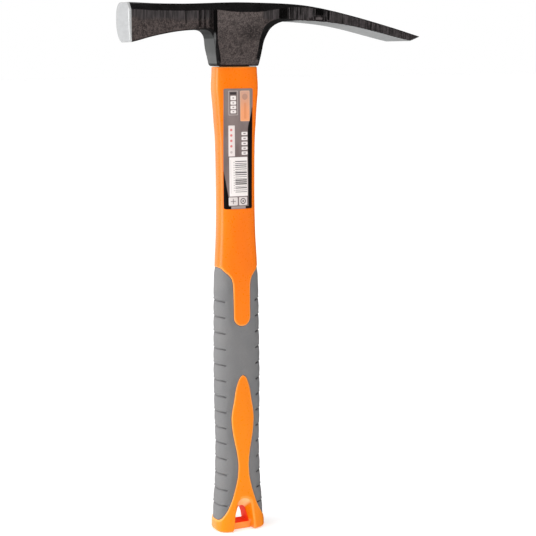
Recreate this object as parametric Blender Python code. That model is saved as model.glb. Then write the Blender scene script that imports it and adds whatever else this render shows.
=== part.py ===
"""Brick hammer: forged steel head bonded to a glass-fibre rod, with a moulded
two-material handle.  Metres, +Z up along the handle.  The origin is the centre
of the flat end of the butt.  +X runs along the head from the striking face to
the chisel edge, and -Y is the front of the handle, where the label is."""

import math

import bmesh
import bpy

MM = 0.001
GAP = 0.3                 # clearance kept between touching pieces, mm

# ---------------------------------------------------------------- dimensions
# all in millimetres
HEAD_TOP = 341.6          # top of the eye block
HEAD_BOTTOM = 302.3       # underside of the eye block
FACE_X = -74.7            # striking face
FACE_BEVEL = 1.8          # ground bevel round the face
TIP_X = 127.3             # chisel edge, upper corner
JACKET_TOP = HEAD_BOTTOM - GAP

# head body along X: x, underside z, top z, half width, top bevel, lower bevel
HEAD_STATIONS = [
    (FACE_X, 317.0 + FACE_BEVEL, 340.9 - FACE_BEVEL, 11.6 - FACE_BEVEL, 3.2, 2.6),
    (FACE_X + FACE_BEVEL, 317.0, 340.9, 11.6, 4.1, 3.0),
    (-70.0, 317.7, 340.9, 11.4, 4.1, 2.8),
    (-61.0, 320.1, 340.6, 11.0, 3.8, 2.0),
    (-52.0, 322.3, 340.4, 10.4, 3.6, 1.8),
    (-43.0, 323.9, 340.4, 9.8, 3.4, 1.6),
    (-34.0, 324.8, 340.5, 9.3, 3.2, 1.5),
    (-25.0, 325.1, 340.8, 9.0, 3.1, 1.5),
    (-12.0, 325.4, 341.4, 8.9, 3.1, 1.5),
    (0.0, 326.5, 341.6, 8.9, 3.1, 1.5),
    (14.0, 328.8, 341.6, 9.0, 3.0, 1.5),
    (26.0, 330.2, 341.6, 9.9, 2.4, 1.4),
    (34.0, 330.4, 341.6, 11.5, 1.8, 1.3),
    (42.0, 330.3, 341.0, 13.0, 1.2, 1.1),
    (51.0, 330.0, 339.6, 14.1, 0.9, 0.9),
    (60.0, 329.4, 337.6, 14.6, 0.7, 0.8),
    (72.0, 328.1, 334.8, 14.8, 1.0, 0.9),
    (84.0, 325.9, 332.1, 14.9, 0.9, 0.8),
    (96.0, 323.3, 329.1, 15.1, 0.8, 0.8),
    (108.0, 320.6, 326.0, 15.3, 0.7, 0.7),
    (120.1, 317.6, 322.7, 15.5, 0.5, 0.5),
]
TIP_Z = 320.6             # height of the chisel edge
TIP_HALF_WIDTH = 15.5

# eye block up Z: z, left x, right x, half depth, corner radius
EYE_STATIONS = [
    (302.3, -13.9, 13.7, 7.2, 2.2),
    (303.7, -14.9, 14.6, 8.1, 2.4),
    (308.0, -15.4, 15.4, 8.7, 2.4),
    (314.0, -16.4, 16.5, 9.5, 2.4),
    (319.0, -17.0, 17.6, 9.5, 2.4),
    (322.5, -18.2, 19.0, 9.2, 2.4),
    (325.0, -19.8, 20.6, 8.9, 2.4),
    (328.0, -21.0, 23.2, 8.6, 2.4),
    (331.0, -21.4, 26.2, 8.4, 2.4),
]
# cheek pad that stands proud on both sides: z, left x, right x, half depth
CHEEK_STATIONS = [
    (304.2, -13.6, 13.2, 7.6, 2.0),
    (308.0, -14.9, 14.2, 8.9, 2.0),
    (314.0, -15.7, 15.2, 9.8, 2.0),
    (322.0, -16.2, 16.4, 10.1, 2.0),
    (332.0, -16.4, 17.6, 10.1, 2.0),
    (337.2, -16.2, 17.4, 9.4, 2.0),
    (340.4, -15.2, 16.4, 6.6, 2.0),
]
# tapered eye hole, wider at the top so that the bond cannot pull through
EYE_HOLE_BOTTOM = (11.2, 5.1)
EYE_HOLE_TOP = (12.4, 6.2)

# glass-fibre rod
ROD_HALF_X = 9.5
ROD_HALF_Y = 4.0
ROD_BOTTOM = 32.0
ROD_TOP = HEAD_TOP - 1.6
RESIN_BOTTOM = HEAD_BOTTOM + 0.4
RESIN_TOP = HEAD_TOP - 1.1

# handle sections up Z: z, half width X, half depth Y, squareness exponent
HANDLE_STATIONS = [
    (0.0, 15.6, 9.6, 3.0),
    (1.5, 17.1, 11.1, 3.2),
    (5.0, 17.1, 11.1, 3.15),
    (8.5, 16.7, 11.0, 3.0),
    (13.0, 16.0, 10.9, 2.9),
    (20.0, 15.6, 10.7, 2.75),
    (28.0, 15.0, 10.4, 2.65),
    (36.0, 14.6, 10.3, 2.6),
    (46.0, 14.35, 10.25, 2.55),
    (60.0, 14.1, 10.2, 2.5),
    (75.0, 14.5, 10.2, 2.5),
    (92.0, 14.75, 10.2, 2.5),
    (112.0, 14.85, 10.1, 2.5),
    (133.0, 14.6, 10.0, 2.5),
    (157.0, 14.35, 9.7, 2.5),
    (169.0, 14.05, 9.5, 2.55),
    (179.0, 13.75, 9.3, 2.6),
    (190.0, 13.1, 9.05, 2.6),
    (202.0, 12.6, 8.8, 2.65),
    (216.0, 12.4, 8.5, 2.7),
    (232.0, 12.4, 8.2, 2.85),
    (250.0, 12.55, 7.95, 3.05),
    (258.0, 12.8, 7.9, 3.15),
    (266.0, 13.35, 7.8, 3.3),
    (273.0, 13.75, 7.75, 3.45),
    (280.0, 14.3, 7.7, 3.6),
    (287.0, 14.85, 7.6, 3.8),
    (292.0, 14.85, 7.4, 3.9),
    (296.0, 14.55, 7.15, 3.9),
    (300.8, 14.3, 6.9, 4.0),
    (302.0, 13.8, 6.4, 4.0),
]
AROUND = 28               # points round a handle section

# grip: depth of the recess it fills, and the outline of its cut-outs
GRIP_THICK = 2.2
GRIP_PROUD = 0.25         # how far the grip stands above the hard plastic
# right half of the upper edge, from the side to the tongue: x, z
GRIP_UPPER = [(22.0, 175.0), (13.6, 175.0), (11.3, 172.8), (8.4, 170.0),
              (6.7, 167.4), (6.0, 164.0), (5.8, 155.0)]
TONGUE_RADIUS = 5.7
TONGUE_BOTTOM = 137.0
# right half of the spindle and the lower edge, from the tip downwards: x, z
SPINDLE = [(0.0, 104.8), (1.7, 103.7), (3.3, 100.8), (5.0, 95.4), (6.2, 88.0),
           (7.6, 80.5), (7.9, 76.0), (7.4, 69.0), (6.3, 61.6), (4.5, 52.5),
           (3.7, 44.5), (4.1, 38.0), (5.5, 31.0), (7.9, 22.6), (10.8, 15.8),
           (13.2, 11.4), (15.3, 8.4), (22.0, 7.0)]

# butt: arched scoops in front and behind that funnel down to a hanging hole
SURFACE_Y = 10.9          # depth at which the scoop has its full size
SCOOP_TOP = 22.8
SCOOP_HALF_TOP = 5.8
SCOOP_HALF_BOTTOM = 7.4
SCOOP_HALF_DEEP = 7.0
WEB_HALF = 5.3            # half thickness of the wall left between the scoops
HOLE_HALF_TOP = 2.9
HOLE_HALF_BOTTOM = 5.5
HOLE_BOTTOM = 4.6
HOLE_TOP = 16.2

# label: left x, right x, bottom z, top z, thickness
LABEL = (-10.0, 9.6, 213.0, 288.2)
LABEL_THICK = 0.25


# ------------------------------------------------------------------- helpers
def new_object(name, bm):
    bmesh.ops.recalc_face_normals(bm, faces=bm.faces)
    mesh = bpy.data.meshes.new(name)
    bm.to_mesh(mesh)
    bm.free()
    obj = bpy.data.objects.new(name, mesh)
    bpy.context.scene.collection.objects.link(obj)
    return obj


def loft(name, rings):
    """Closed solid through a list of rings of equal length, capped flat."""
    bm = bmesh.new()
    rows = [[bm.verts.new([c * MM for c in p]) for p in ring] for ring in rings]
    for low, high in zip(rows, rows[1:]):
        n = len(low)
        for i in range(n):
            j = (i + 1) % n
            bm.faces.new((low[i], low[j], high[j], high[i]))
    bm.faces.new(list(reversed(rows[0])))
    bm.faces.new(rows[-1])
    return new_object(name, bm)


def prism_y(name, outline, y0, y1):
    """Outline of (x, z) points extruded from y0 to y1."""
    bm = bmesh.new()
    face = bm.faces.new([bm.verts.new((x * MM, y0 * MM, z * MM))
                         for x, z in outline])
    ext = bmesh.ops.extrude_face_region(bm, geom=[face])
    moved = [v for v in ext["geom"] if isinstance(v, bmesh.types.BMVert)]
    bmesh.ops.translate(bm, verts=moved, vec=(0, (y1 - y0) * MM, 0))
    return new_object(name, bm)


def boolean(target, cutter, operation, keep_cutter=False):
    """Apply one exact boolean and put the cutter away."""
    mod = target.modifiers.new("cut", "BOOLEAN")
    mod.operation = operation
    mod.solver = "EXACT"
    mod.object = cutter
    graph = bpy.context.evaluated_depsgraph_get()
    mesh = bpy.data.meshes.new_from_object(target.evaluated_get(graph))
    old = target.data
    target.modifiers.clear()
    target.data = mesh
    bpy.data.meshes.remove(old)
    if not keep_cutter:
        bpy.data.objects.remove(cutter, do_unlink=True)


def tidy(obj, angle=30.0):
    """Drop slivers left by the booleans and set the shading."""
    bm = bmesh.new()
    bm.from_mesh(obj.data)
    bmesh.ops.remove_doubles(bm, verts=bm.verts, dist=0.00001)
    bmesh.ops.dissolve_degenerate(bm, dist=0.00001, edges=bm.edges)
    bmesh.ops.recalc_face_normals(bm, faces=bm.faces)
    bm.to_mesh(obj.data)
    bm.free()
    obj.data.shade_smooth()
    obj.data.set_sharp_from_angle(angle=math.radians(angle))


def material(name, colour, roughness, metallic):
    mat = bpy.data.materials.new(name)
    mat.use_nodes = True
    bsdf = mat.node_tree.nodes["Principled BSDF"]
    bsdf.inputs["Base Color"].default_value = (*colour, 1.0)
    bsdf.inputs["Roughness"].default_value = roughness
    bsdf.inputs["Metallic"].default_value = metallic
    return mat


def superellipse(a, b, n, z, count=AROUND):
    """Rounded section: |x/a|^n + |y/b|^n = 1."""
    ring = []
    for i in range(count):
        t = 2 * math.pi * (i + 0.5) / count
        c, s = math.cos(t), math.sin(t)
        r = (abs(c / a) ** n + abs(s / b) ** n) ** (-1.0 / n)
        ring.append((r * c, r * s, z))
    return ring


def rounded_box(x0, x1, y0, y1, r, z, steps=3):
    """Rectangle with rounded corners at height z."""
    ring = []
    corners = [(x1 - r, y1 - r, 0), (x0 + r, y1 - r, 90),
               (x0 + r, y0 + r, 180), (x1 - r, y0 + r, 270)]
    for cx, cy, start in corners:
        for k in range(steps + 1):
            t = math.radians(start + 90.0 * k / steps)
            ring.append((cx + r * math.cos(t), cy + r * math.sin(t), z))
    return ring


def handle_section(z):
    """Half width, half depth and exponent of the handle at height z."""
    rows = HANDLE_STATIONS
    if z <= rows[0][0]:
        return rows[0][1:]
    for low, high in zip(rows, rows[1:]):
        if z <= high[0]:
            f = (z - low[0]) / (high[0] - low[0])
            return tuple(p + (q - p) * f for p, q in zip(low[1:], high[1:]))
    return rows[-1][1:]


def handle_rings(grow, z0, z1):
    """Rings of the handle surface moved out by grow, from z0 to z1."""
    levels = [z0] + [s[0] for s in HANDLE_STATIONS if z0 < s[0] < z1] + [z1]
    rings = []
    for z in levels:
        a, b, n = handle_section(z)
        rings.append(superellipse(a + grow, b + grow, n, z))
    return rings


def grip_outline(grow):
    """Front view of the grip: a band with a tongue cut in from above and a
    spindle cut in from below, both moved towards the orange by grow."""
    arc = []
    for k in range(1, 8):
        t = math.radians(-90.0 * k / 8)
        arc.append((TONGUE_RADIUS * math.cos(t),
                    TONGUE_BOTTOM + TONGUE_RADIUS + TONGUE_RADIUS * math.sin(t)))
    upper = GRIP_UPPER + arc + [(0.0, TONGUE_BOTTOM)]
    upper = upper + [(-x, z) for x, z in reversed(upper[:-1])]
    lower = [(-x, z) for x, z in reversed(SPINDLE)] + SPINDLE[1:]
    path = upper + lower
    n = len(path)
    area = sum(path[i][0] * path[(i + 1) % n][1]
               - path[(i + 1) % n][0] * path[i][1] for i in range(n))
    side = 1.0 if area > 0 else -1.0
    out = []
    for i, (x, z) in enumerate(path):
        ax, az = path[i - 1]
        bx, bz = path[(i + 1) % n]
        ex, ez = x - ax, z - az
        fx, fz = bx - x, bz - z
        le, lf = math.hypot(ex, ez), math.hypot(fx, fz)
        nx = side * (ez / le + fz / lf)
        nz = side * -(ex / le + fx / lf)
        ln = math.hypot(nx, nz)
        out.append((x + grow * nx / ln, z + grow * nz / ln))
    return out


def arch_outline(half_bottom, half_top, z0, z1, steps=8):
    """Opening with straight sides and a round top, from z0 up to z1."""
    spring = z1 - half_top
    pts = [(half_bottom, z0), (half_top, spring)]
    for k in range(1, steps):
        t = math.pi * k / steps
        pts.append((half_top * math.cos(t), spring + half_top * math.sin(t)))
    pts += [(-half_top, spring), (-half_bottom, z0)]
    return pts


def scoop_rings(end):
    """Two outlines of a scoop: at the wall, where it has narrowed to the hole,
    and as far outside the surface as that is inside it."""
    rings = []
    for f in (0.0, 2.0):
        top = HOLE_TOP + (SCOOP_TOP - HOLE_TOP) * f
        half = HOLE_HALF_TOP + (SCOOP_HALF_TOP - HOLE_HALF_TOP) * f
        low = SCOOP_HALF_DEEP + (SCOOP_HALF_BOTTOM - SCOOP_HALF_DEEP) * f
        y = end * (WEB_HALF + (SURFACE_Y - WEB_HALF) * f)
        rings.append([(x, y, z) for x, z in arch_outline(low, half, -3.0, top)])
    return rings


# --------------------------------------------------------------- empty scene
for old in list(bpy.data.objects):
    bpy.data.objects.remove(old, do_unlink=True)

root = bpy.data.objects.new("hammer_origin", None)
bpy.context.scene.collection.objects.link(root)

mat_steel = material("black_forged_steel", (0.055, 0.048, 0.046), 0.42, 0.6)
mat_fibre = material("glass_fibre", (0.62, 0.60, 0.42), 0.45, 0.0)
mat_resin = material("epoxy", (0.10, 0.09, 0.08), 0.35, 0.0)
mat_orange = material("orange_plastic", (0.90, 0.22, 0.02), 0.35, 0.0)
mat_grip = material("grey_rubber", (0.20, 0.20, 0.20), 0.75, 0.0)
mat_label = material("label_film", (0.22, 0.18, 0.17), 0.4, 0.0)


# ---------------------------------------------------------------------- head
def head_ring(x, z0, z1, half, top, low):
    """Section of the bar with bevelled corners, in the plane x."""
    return [(x, half, z0 + low), (x, half, z1 - top), (x, half - top, z1),
            (x, -half + top, z1), (x, -half, z1 - top), (x, -half, z0 + low),
            (x, -half + low, z0), (x, half - low, z0)]


rings = [head_ring(*s) for s in HEAD_STATIONS]
# the edge: a short ground bevel from the last station to the chisel tip
h = TIP_HALF_WIDTH
rings.append([(TIP_X, h, TIP_Z - 0.25), (TIP_X, h, TIP_Z + 0.15),
              (TIP_X, h - 0.3, TIP_Z + 0.35), (TIP_X, -h + 0.3, TIP_Z + 0.35),
              (TIP_X, -h, TIP_Z + 0.15), (TIP_X, -h, TIP_Z - 0.25),
              (TIP_X, -h + 0.3, TIP_Z - 0.45), (TIP_X, h - 0.3, TIP_Z - 0.45)])
head = loft("head", rings)

eye_block = loft("eye_block", [rounded_box(x0, x1, -b, b, r, z)
                               for z, x0, x1, b, r in EYE_STATIONS])
boolean(head, eye_block, "UNION")
cheeks = loft("cheeks", [rounded_box(x0, x1, -b, b, r, z)
                         for z, x0, x1, b, r in CHEEK_STATIONS])
boolean(head, cheeks, "UNION")


def eye_rings(inset, z0, z1):
    """Tapered eye section, drawn in by inset, from z0 to z1."""
    out = []
    for z in (z0, z1):
        f = (z - HEAD_BOTTOM) / (HEAD_TOP - HEAD_BOTTOM)
        a = EYE_HOLE_BOTTOM[0] + (EYE_HOLE_TOP[0] - EYE_HOLE_BOTTOM[0]) * f
        b = EYE_HOLE_BOTTOM[1] + (EYE_HOLE_TOP[1] - EYE_HOLE_BOTTOM[1]) * f
        out.append(rounded_box(-a + inset, a - inset, -b + inset, b - inset,
                               3.6 - inset, z, 4))
    return out


boolean(head, loft("eye_cut", eye_rings(0.0, HEAD_BOTTOM - 2, HEAD_TOP + 2)),
        "DIFFERENCE")
tidy(head)
head.data.materials.clear()
head.data.materials.append(mat_steel)


# ---------------------------------------------------------------- fibre rod
def rod_rings(grow, z0, z1):
    return [rounded_box(-ROD_HALF_X - grow, ROD_HALF_X + grow,
                        -ROD_HALF_Y - grow, ROD_HALF_Y + grow,
                        2.6 + grow, z, 4) for z in (z0, z1)]


core = loft("fibre_core", rod_rings(0.0, ROD_BOTTOM, ROD_TOP))
tidy(core)
core.data.materials.append(mat_fibre)

resin = loft("eye_resin", eye_rings(GAP, RESIN_BOTTOM, RESIN_TOP))
boolean(resin, loft("rod_cut", rod_rings(GAP, RESIN_BOTTOM - 3, RESIN_TOP + 3)),
        "DIFFERENCE")
tidy(resin)
resin.data.materials.clear()
resin.data.materials.append(mat_resin)

# ------------------------------------------------------------ handle jacket
jacket = loft("handle_jacket", handle_rings(0.0, 0.0, JACKET_TOP))
# cavity for the rod, open at the top
boolean(jacket, loft("rod_cavity", rod_rings(GAP, ROD_BOTTOM - GAP,
                                             JACKET_TOP + 5)), "DIFFERENCE")
# recess for the grip
recess = loft("recess", handle_rings(1.5, 2.0, 181.0))
boolean(recess, loft("recess_core", handle_rings(-GRIP_THICK - GAP, 0.5, 184.0)),
        "DIFFERENCE")
boolean(recess, prism_y("recess_outline", grip_outline(GAP), -30, 30),
        "INTERSECT")
boolean(jacket, recess, "DIFFERENCE")
# scoops at the front and back of the butt
for end in (-1, 1):
    boolean(jacket, loft("scoop", scoop_rings(end)), "DIFFERENCE")
# hanging hole through the wall between them
hole = arch_outline(HOLE_HALF_BOTTOM, HOLE_HALF_TOP, HOLE_BOTTOM, HOLE_TOP)
boolean(jacket, prism_y("hanging_hole", hole, -30, 30), "DIFFERENCE")
tidy(jacket)
jacket.data.materials.clear()
jacket.data.materials.append(mat_orange)

# ---------------------------------------------------------------------- grip
grip = loft("grip_overmould", handle_rings(GRIP_PROUD, 4.0, 179.0))
boolean(grip, loft("grip_core", handle_rings(-GRIP_THICK, 1.0, 183.0)),
        "DIFFERENCE")
boolean(grip, prism_y("grip_outline", grip_outline(0.0), -30, 30), "INTERSECT")
tidy(grip)
grip.data.materials.clear()
grip.data.materials.append(mat_grip)


# --------------------------------------------------------------------- label
def front_y(x, z, grow):
    """Front surface of the handle at (x, z), moved out by grow."""
    a, b, n = handle_section(z)
    a, b = a + grow, b + grow
    return -b * (1.0 - min(0.999, abs(x / a)) ** n) ** (1.0 / n)


def label_sheet():
    x0, x1, z0, z1 = LABEL
    cols, rows = 10, 12
    bm = bmesh.new()
    layers = []
    for grow in (GAP, GAP + LABEL_THICK):
        layers.append([[bm.verts.new((x * MM, front_y(x, z, grow) * MM, z * MM))
                        for x in [x0 + (x1 - x0) * i / cols
                                  for i in range(cols + 1)]]
                       for z in [z0 + (z1 - z0) * j / rows
                                 for j in range(rows + 1)]])
    for layer in layers:
        for j in range(rows):
            for i in range(cols):
                bm.faces.new((layer[j][i], layer[j][i + 1],
                              layer[j + 1][i + 1], layer[j + 1][i]))
    rim = ([(0, i) for i in range(cols)] + [(j, cols) for j in range(rows)]
           + [(rows, i) for i in range(cols, 0, -1)]
           + [(j, 0) for j in range(rows, 0, -1)])
    for k, (j, i) in enumerate(rim):
        jj, ii = rim[(k + 1) % len(rim)]
        bm.faces.new((layers[0][j][i], layers[0][jj][ii],
                      layers[1][jj][ii], layers[1][j][i]))
    return new_object("label", bm)


label = label_sheet()
tidy(label)
label.data.materials.append(mat_label)

for piece in (head, core, resin, jacket, grip, label):
    piece.parent = root
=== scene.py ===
"""Looks for the brick hammer.  Fine meshes are worked out here from the same
dimensions as the CAD, and ride on its one body."""

import math

import bpy
import numpy as np
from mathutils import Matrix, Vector


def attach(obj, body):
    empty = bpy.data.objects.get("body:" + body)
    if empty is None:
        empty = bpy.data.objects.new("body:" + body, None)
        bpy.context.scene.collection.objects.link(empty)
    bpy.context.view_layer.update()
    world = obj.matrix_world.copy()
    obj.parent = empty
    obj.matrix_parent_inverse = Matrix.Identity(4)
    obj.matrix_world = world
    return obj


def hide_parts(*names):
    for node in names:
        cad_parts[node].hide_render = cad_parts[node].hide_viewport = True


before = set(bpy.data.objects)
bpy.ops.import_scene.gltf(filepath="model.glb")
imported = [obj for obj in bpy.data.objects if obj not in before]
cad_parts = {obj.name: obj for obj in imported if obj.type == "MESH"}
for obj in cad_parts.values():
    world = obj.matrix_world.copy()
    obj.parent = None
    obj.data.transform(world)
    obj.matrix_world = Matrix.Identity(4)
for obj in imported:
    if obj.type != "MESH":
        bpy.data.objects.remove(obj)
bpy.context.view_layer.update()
MM = 0.001


# ------------------------------------------------------------------ numerics
def pchip(xs, ys):
    """Shape-keeping cubic through stations, returned as a function."""
    xs, ys = np.asarray(xs, float), np.asarray(ys, float)
    h = np.diff(xs)
    d = np.diff(ys) / h
    m = np.zeros(len(xs))
    for i in range(1, len(xs) - 1):
        if d[i - 1] * d[i] > 0:
            w1, w2 = 2 * h[i] + h[i - 1], h[i] + 2 * h[i - 1]
            m[i] = (w1 + w2) / (w1 / d[i - 1] + w2 / d[i])
    m[0], m[-1] = d[0], d[-1]

    def f(x):
        x = np.clip(x, xs[0], xs[-1])
        i = np.clip(np.searchsorted(xs, x, side="right") - 1, 0, len(xs) - 2)
        t = (x - xs[i]) / h[i]
        t2, t3 = t * t, t * t * t
        return ((2 * t3 - 3 * t2 + 1) * ys[i] + (t3 - 2 * t2 + t) * h[i] * m[i]
                + (-2 * t3 + 3 * t2) * ys[i + 1] + (t3 - t2) * h[i] * m[i + 1])
    return f


def spline(xs, ys):
    """Natural cubic spline, smoother than pchip for long flowing curves."""
    xs, ys = np.asarray(xs, float), np.asarray(ys, float)
    n = len(xs)
    h = np.diff(xs)
    a = np.zeros((n, n))
    r = np.zeros(n)
    a[0, 0] = a[-1, -1] = 1.0
    for i in range(1, n - 1):
        a[i, i - 1], a[i, i], a[i, i + 1] = h[i - 1], 2 * (h[i - 1] + h[i]), h[i]
        r[i] = 6 * ((ys[i + 1] - ys[i]) / h[i] - (ys[i] - ys[i - 1]) / h[i - 1])
    c = np.linalg.solve(a, r)

    def f(x):
        x = np.clip(x, xs[0], xs[-1])
        i = np.clip(np.searchsorted(xs, x, side="right") - 1, 0, n - 2)
        t, u = x - xs[i], xs[i + 1] - x
        return ((c[i] * u ** 3 + c[i + 1] * t ** 3) / (6 * h[i])
                + (ys[i] / h[i] - c[i] * h[i] / 6) * u
                + (ys[i + 1] / h[i] - c[i + 1] * h[i] / 6) * t)
    return f


def smoothstep(a, b, x):
    t = np.clip((x - a) / (b - a), 0, 1)
    return t * t * (3 - 2 * t)


def smax(a, b, k):
    """Maximum with its crease rounded over about k."""
    h = np.maximum(k - np.abs(a - b), 0) / k
    return np.maximum(a, b) + h * h * k * 0.25


def smin(a, b, k):
    return -smax(-a, -b, k)


def meet(a, b, r):
    """Where both a and b are inside, with the edge between them rounded to
    radius r."""
    return (np.minimum(np.maximum(a, b), -r)
            + np.hypot(np.maximum(a + r, 0), np.maximum(b + r, 0)))


def hash3(i, j, k):
    n = (i * 73856093) ^ (j * 19349663) ^ (k * 83492791)
    n = (n ^ (n >> 13)) * 1274126177
    n = n & 0x7FFFFFFF
    return (n ^ (n >> 16)) % 65536 / 32767.5 - 1.0


def noise3(x, y, z):
    """Smooth value noise in -1..1."""
    ix, iy, iz = (np.floor(c).astype(np.int64) for c in (x, y, z))
    fx, fy, fz = x - ix, y - iy, z - iz
    fx, fy, fz = (f * f * (3 - 2 * f) for f in (fx, fy, fz))
    out = 0.0
    for dx in (0, 1):
        for dy in (0, 1):
            for dz in (0, 1):
                w = ((fx if dx else 1 - fx) * (fy if dy else 1 - fy)
                     * (fz if dz else 1 - fz))
                out = out + w * hash3(ix + dx, iy + dy, iz + dz)
    return out


def contour(f, xs, ys, zs, step=0.25):
    """Dual contouring of f = 0 on the grid xs, ys, zs, in mm.  Each cell's
    vertex is set from the surface points and normals on its edges, so crisp
    edges stay crisp.  Returns vertices and quads facing out of f < 0."""
    nx, ny, nz = len(xs), len(ys), len(zs)
    val = np.empty((nx, ny, nz), np.float64)
    Y, Z = np.meshgrid(ys, zs, indexing="ij")
    for i0 in range(0, nx, 32):
        i1 = min(nx, i0 + 32)
        X = xs[i0:i1, None, None] + np.zeros((1, ny, nz))
        val[i0:i1] = f(X, Y[None] + 0 * X, Z[None] + 0 * X)
    inside = val < 0
    axes = (xs, ys, zs)
    cells = (nx - 1, ny - 1, nz - 1)
    acc_a = np.zeros((cells[0] * cells[1] * cells[2], 6))
    acc_b = np.zeros((acc_a.shape[0], 3))
    acc_m = np.zeros((acc_a.shape[0], 3))
    acc_n = np.zeros(acc_a.shape[0])
    quads = []
    for ax in range(3):
        sl0 = [slice(None)] * 3
        sl1 = [slice(None)] * 3
        sl0[ax], sl1[ax] = slice(0, -1), slice(1, None)
        a, b = inside[tuple(sl0)], inside[tuple(sl1)]
        idx = np.argwhere(a != b)
        if not len(idx):
            continue
        p0 = np.stack([axes[k][idx[:, k]] for k in range(3)], 1)
        p1 = p0.copy()
        p1[:, ax] = axes[ax][idx[:, ax] + 1]
        v0 = val[idx[:, 0], idx[:, 1], idx[:, 2]]
        jdx = idx.copy()
        jdx[:, ax] += 1
        v1 = val[jdx[:, 0], jdx[:, 1], jdx[:, 2]]
        t0, t1 = np.zeros(len(idx)), np.ones(len(idx))
        for _ in range(6):
            t = t0 + (t1 - t0) * np.clip(v0 / (v0 - v1), 0.1, 0.9)
            p = p0 + (p1 - p0) * t[:, None]
            v = f(p[:, 0], p[:, 1], p[:, 2])
            same = (v < 0) == (v0 < 0)
            t0, v0 = np.where(same, t, t0), np.where(same, v, v0)
            t1, v1 = np.where(same, t1, t), np.where(same, v1, v)
        t = t0 + (t1 - t0) * v0 / (v0 - v1)
        p = p0 + (p1 - p0) * t[:, None]
        g = gradient(f, p, 0.02)
        others = [k for k in range(3) if k != ax]
        ring = []
        ok = np.ones(len(idx), bool)
        for du, dv in ((-1, -1), (0, -1), (0, 0), (-1, 0)):
            c = idx.copy()
            c[:, others[0]] += du
            c[:, others[1]] += dv
            for k in range(3):
                ok &= (c[:, k] >= 0) & (c[:, k] < cells[k])
            ring.append((c[:, 0] * cells[1] + c[:, 1]) * cells[2] + c[:, 2])
        d = (g * p).sum(1)
        comps = (g[:, 0] ** 2, g[:, 0] * g[:, 1], g[:, 0] * g[:, 2],
                 g[:, 1] ** 2, g[:, 1] * g[:, 2], g[:, 2] ** 2)
        n_all = acc_a.shape[0]
        for cell in ring:
            cell = np.where(ok, cell, 0)
            w = ok.astype(float)
            for k in range(6):
                acc_a[:, k] += np.bincount(cell, comps[k] * w, n_all)
            for k in range(3):
                acc_b[:, k] += np.bincount(cell, g[:, k] * d * w, n_all)
                acc_m[:, k] += np.bincount(cell, p[:, k] * w, n_all)
            acc_n += np.bincount(cell, w, n_all)
        q = np.stack(ring, 1)[ok]
        flip = a[tuple(idx[ok].T)]
        if ax == 1:
            flip = ~flip
        q[~flip] = q[~flip][:, ::-1]
        quads.append(q)
    quads = np.concatenate(quads)
    used = np.unique(quads)
    A = acc_a[used]
    n = acc_n[used][:, None]
    m = acc_m[used] / n
    mat = np.empty((len(used), 3, 3))
    mat[:, 0, 0], mat[:, 0, 1], mat[:, 0, 2] = A[:, 0], A[:, 1], A[:, 2]
    mat[:, 1, 0], mat[:, 1, 1], mat[:, 1, 2] = A[:, 1], A[:, 3], A[:, 4]
    mat[:, 2, 0], mat[:, 2, 1], mat[:, 2, 2] = A[:, 2], A[:, 4], A[:, 5]
    lam = 0.06
    mat += lam * n[:, :, None] * np.eye(3)
    rhs = acc_b[used] + lam * n * m
    x = np.linalg.solve(mat, rhs[:, :, None])[:, :, 0]
    ci = np.stack(np.unravel_index(used, cells), 1)
    lo = np.stack([axes[k][ci[:, k]] for k in range(3)], 1)
    hi = np.stack([axes[k][ci[:, k] + 1] for k in range(3)], 1)
    pad = 0.15 * (hi - lo)
    x = np.clip(x, lo - pad, hi + pad)
    remap = np.full(acc_a.shape[0], -1, np.int64)
    remap[used] = np.arange(len(used))
    return x, remap[quads]


def gradient(f, p, e=0.02):
    g = np.empty_like(p)
    for k in range(3):
        q = p.copy()
        q[:, k] += e
        r = p.copy()
        r[:, k] -= e
        g[:, k] = f(q[:, 0], q[:, 1], q[:, 2]) - f(r[:, 0], r[:, 1], r[:, 2])
    return g / np.maximum(np.linalg.norm(g, axis=1, keepdims=True), 1e-12)


def to_object(name, verts, faces, f=None, attributes=None, sharp=None):
    """Mesh in mm to a scene object in metres, smooth shaded."""
    mesh = bpy.data.meshes.new(name)
    verts = np.asarray(verts, float)
    faces = np.asarray(faces)
    mesh.vertices.add(len(verts))
    mesh.vertices.foreach_set("co", (verts * MM).astype(np.float32).ravel())
    k = faces.shape[1]
    mesh.loops.add(len(faces) * k)
    mesh.loops.foreach_set("vertex_index", faces.astype(np.int32).ravel())
    mesh.polygons.add(len(faces))
    mesh.polygons.foreach_set("loop_start",
                              np.arange(0, len(faces) * k, k, dtype=np.int32))
    mesh.update(calc_edges=True)
    mesh.validate()
    mesh.shade_smooth()
    for key, data in (attributes or {}).items():
        at = mesh.attributes.new(key, "FLOAT", "POINT")
        at.data.foreach_set("value", np.asarray(data, np.float32))
    if f is not None:
        g = gradient(f, verts, 0.05)
        mesh.normals_split_custom_set_from_vertices(g.tolist())
    elif sharp is not None:
        mesh.set_sharp_from_angle(angle=math.radians(sharp))
    obj = bpy.data.objects.new(name, mesh)
    bpy.context.scene.collection.objects.link(obj)
    return obj


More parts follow.
